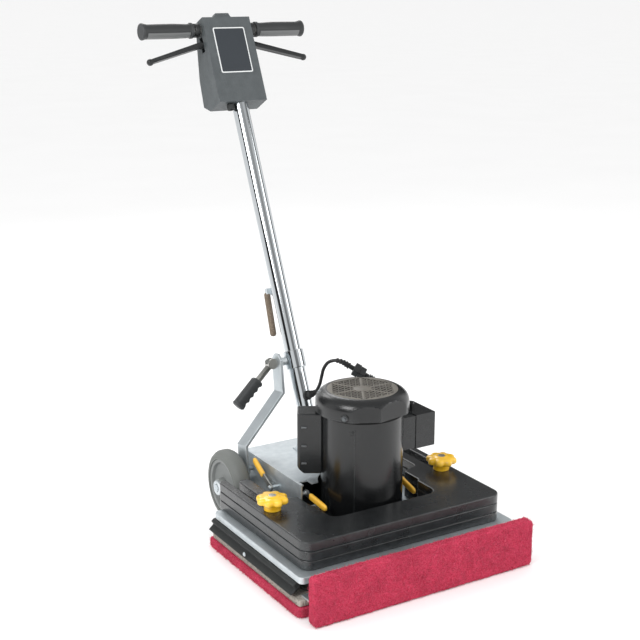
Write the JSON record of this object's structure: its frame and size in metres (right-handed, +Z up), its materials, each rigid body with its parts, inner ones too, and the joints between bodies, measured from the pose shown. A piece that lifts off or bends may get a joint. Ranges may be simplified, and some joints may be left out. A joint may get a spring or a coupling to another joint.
{
  "type": "orbital floor machine",
  "caption": "Upright floor machine with a rectangular oscillating pad head, stacked deck weights, an upright motor, transport wheels and a tilting tube handle with control box.",
  "frame": {"origin": "middle of the floor pad's underside, on the floor", "axes": "+Z up, -Y to the front of the machine, +X to the operator's right"},
  "size_m": [0.516, 0.8183, 1.0371],
  "materials": {
    "scrub_pad": "matte",
    "driver_board": "matte",
    "black_rubber": "matte",
    "zinc_plate": "satin",
    "chrome": "polished",
    "steel": "satin",
    "weight_black": "textured satin",
    "motor_black": "semi-gloss",
    "knob_yellow": "gloss",
    "vinyl_yellow": "semi-gloss",
    "box_grey": "textured matte",
    "black_plastic": "satin",
    "tyre_grey": "matte",
    "hub_grey": "satin",
    "hook_sleeve": "matte"
  },
  "bodies": {
    "machine": {"deck_tray": "zinc_plate", "weight_plate_1": "weight_black", "weight_plate_2": "weight_black", "weight_plate_3": "weight_black", "skirt_left": "black_rubber", "skirt_right": "black_rubber", "rubber_mount_front_left": "black_rubber", "rubber_mount_front_right": "black_rubber", "rubber_mount_rear_left": "black_rubber", "rubber_mount_rear_right": "black_rubber", "motor_housing": "motor_black", "stator": "steel", "fan_cover": "motor_black", "capacitor_cover": "motor_black", "terminal_box": "motor_black", "terminal_lid": "motor_black", "chassis": "zinc_plate", "axle": "steel", "pivot_bracket": "zinc_plate", "pivot_bolt": "steel", "motor_lead": "black_rubber", "lead_plug": "black_plastic", "lead_socket": "black_plastic", "terminal_tail": "black_rubber"},
    "rotor": {"motor_rotor": "steel"},
    "pad_head": {"floor_pad": "scrub_pad", "pad_driver": "driver_board", "driver_bearing": "steel", "front_pad": "scrub_pad", "front_pad_holder": "zinc_plate"},
    "handle": {"handle_tube": "chrome", "lead_grommet": "black_rubber", "cord_hook_bracket": "zinc_plate", "control_box_front": "box_grey", "control_box_rear": "box_grey", "power_cord_gland": "black_rubber", "handlebar": "steel", "hand_grip_left": "box_grey", "hand_grip_right": "box_grey"},
    "collar": {"collar": "chrome"},
    "cord_hook": {"cord_hook": "hook_sleeve"},
    "yoke": {"strut": "zinc_plate", "cam_bolt": "steel"},
    "cam": {"cam_lever": "steel", "cam_grip": "black_plastic"},
    "lockout_button": {"lockout_button": "box_grey"},
    "wheel_left": {"tyre_left": "tyre_grey", "wheel_hub_left": "hub_grey"},
    "knob_left": {"knob_left": "knob_yellow"},
    "trigger_left": {"trigger_left": "black_plastic"},
    "latch_rear_left": {"latch_rear_left": "vinyl_yellow"},
    "latch_front_left": {"latch_front_left": "vinyl_yellow"},
    "wheel_right": {"tyre_right": "tyre_grey", "wheel_hub_right": "hub_grey"},
    "knob_right": {"knob_right": "knob_yellow"},
    "trigger_right": {"trigger_right": "black_plastic"},
    "latch_rear_right": {"latch_rear_right": "vinyl_yellow"},
    "latch_front_right": {"latch_front_right": "vinyl_yellow"}
  },
  "joints": [
    {"name": "motor_spin", "type": "hinge", "parent": "machine", "child": "rotor", "pos_m": [0, 0.005, 0.2], "axis": [0, 0, 1], "continuous": true},
    {"name": "pad_orbit", "type": "hinge", "parent": "rotor", "child": "pad_head", "pos_m": [0.0032, 0.005, 0.04], "axis": [0, 0, 1], "continuous": true},
    {"name": "handle_tilt", "type": "hinge", "parent": "machine", "child": "handle", "pos_m": [0, 0.1947, 0.17], "axis": [-1, 0, 0], "range_deg": [-20, 28], "deforming": ["motor_lead"]},
    {"name": "yoke_swing", "type": "hinge", "parent": "machine", "child": "yoke", "pos_m": [0, 0.24, 0.12], "axis": [-1, 0, 0], "range_deg": [-18, 25.1]},
    {"name": "collar_slide", "type": "slide", "parent": "handle", "child": "collar", "axis": [0, 0.4099, 0.9121], "range_m": [-0.0195, 0.0272]},
    {"name": "cam_swing", "type": "hinge", "parent": "yoke", "child": "cam", "pos_m": [-0.0568, 0.26705, 0.33099], "axis": [0, 0.9919, -0.1272], "range_deg": [0, 90]},
    {"name": "cord_hook_turn", "type": "hinge", "parent": "handle", "child": "cord_hook", "pos_m": [0, 0.36007, 0.45966], "axis": [0, 0.9121, -0.4099], "range_deg": [0, 180]},
    {"name": "lockout_press", "type": "slide", "parent": "handle", "child": "lockout_button", "axis": [0, -0.4099, -0.9121], "range_m": [0, 0.004], "stiffness_N_per_m": 600, "springref_m": -0.004},
    {"name": "wheel_spin_left", "type": "hinge", "parent": "machine", "child": "wheel_left", "pos_m": [-0.166, 0.254, 0.086], "axis": [1, 0, 0], "continuous": true},
    {"name": "knob_turn_left", "type": "hinge", "parent": "machine", "child": "knob_left", "pos_m": [-0.1995, 0.01, 0.15], "axis": [0, 0, 1], "continuous": true},
    {"name": "trigger_pull_left", "type": "hinge", "parent": "handle", "child": "trigger_left", "pos_m": [-0.046, 0.55892, 0.96945], "axis": [0, 0.9121, -0.4099], "range_deg": [0, 12], "stiffness_Nm_per_rad": 2, "springref_deg": -11.46},
    {"name": "latch_rear_turn_left", "type": "hinge", "parent": "machine", "child": "latch_rear_left", "pos_m": [-0.137, 0.13, 0.118], "axis": [1, 0, 0], "range_deg": [-30, 60]},
    {"name": "latch_front_turn_left", "type": "hinge", "parent": "machine", "child": "latch_front_left", "pos_m": [-0.105, 0.044, 0.1315], "axis": [-1, 0, 0], "range_deg": [0, 80]},
    {"name": "wheel_spin_right", "type": "hinge", "parent": "machine", "child": "wheel_right", "pos_m": [0.166, 0.254, 0.086], "axis": [1, 0, 0], "continuous": true},
    {"name": "knob_turn_right", "type": "hinge", "parent": "machine", "child": "knob_right", "pos_m": [0.1995, 0.01, 0.15], "axis": [0, 0, 1], "continuous": true},
    {"name": "trigger_pull_right", "type": "hinge", "parent": "handle", "child": "trigger_right", "pos_m": [0.046, 0.55892, 0.96945], "axis": [0, -0.9121, 0.4099], "range_deg": [0, 12], "stiffness_Nm_per_rad": 2, "springref_deg": -11.46},
    {"name": "latch_rear_turn_right", "type": "hinge", "parent": "machine", "child": "latch_rear_right", "pos_m": [0.137, 0.13, 0.118], "axis": [1, 0, 0], "range_deg": [-30, 60]},
    {"name": "latch_front_turn_right", "type": "hinge", "parent": "machine", "child": "latch_front_right", "pos_m": [0.105, 0.044, 0.1315], "axis": [-1, 0, 0], "range_deg": [0, 80]}
  ],
  "couplings": [
    {"joint": "pad_orbit", "follows": "motor_spin", "ratio": -1},
    {"joint": "yoke_swing", "follows": "handle_tilt", "ratio": 0.8914},
    {"joint": "collar_slide", "follows": "handle_tilt", "m_per_rad": 0.0549}
  ]
}
